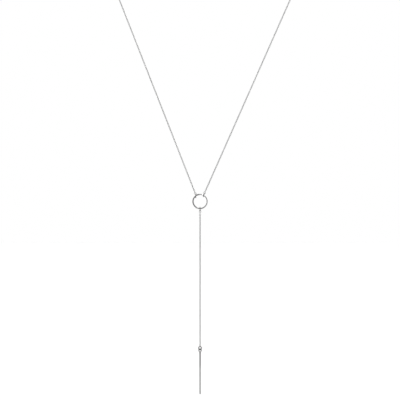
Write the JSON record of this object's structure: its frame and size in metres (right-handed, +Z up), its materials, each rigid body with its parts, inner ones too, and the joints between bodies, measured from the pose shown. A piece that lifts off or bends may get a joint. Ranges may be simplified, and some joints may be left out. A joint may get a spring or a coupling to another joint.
{
  "type": "y necklace",
  "caption": "Fine silver cable chain that meets at a small round ring, with a straight chain drop ending in a slim round bar; spring ring clasp at the nape.",
  "frame": {"origin": "middle of the neck opening at the height of the nape, where the necklace is carried when it is worn", "axes": "+Z up; -Y to the wearer's front, where the ring and the drop hang; +X to the right of someone who faces the wearer"},
  "size_m": [0.1192, 0.1004, 0.2832],
  "materials": {
    "chain_silver": "bright silver wire links, softly polished",
    "ring_silver": "polished round silver wire",
    "link_silver": "polished silver jump rings",
    "bar_silver": "polished round silver rod with fine draw marks along it",
    "clasp_silver": "polished silver tube"
  },
  "bodies": {
    "necklace": {"center_ring": "ring_silver", "ring_link_left": "link_silver", "ring_link_right": "link_silver", "ring_link_drop": "link_silver", "neck_chain_left": "chain_silver", "neck_chain_right": "chain_silver", "clasp": "clasp_silver", "clasp_link": "link_silver", "end_ring": "link_silver", "drop_chain": "chain_silver"},
    "hanging_link": {"pendant_link": "link_silver"},
    "bar": {"bar_pendant": "bar_silver"}
  },
  "joints": [
    {"name": "side_swing", "type": "hinge", "parent": "necklace", "child": "hanging_link", "pos_m": [-0.0031, -0.054, -0.25015], "axis": [0.5, 0.866, 0], "range_deg": [-60, 60]},
    {"name": "front_swing", "type": "hinge", "parent": "hanging_link", "child": "bar", "pos_m": [-0.0031, -0.054, -0.25123], "axis": [0.866, -0.5, 0], "range_deg": [-60, 60]}
  ]
}
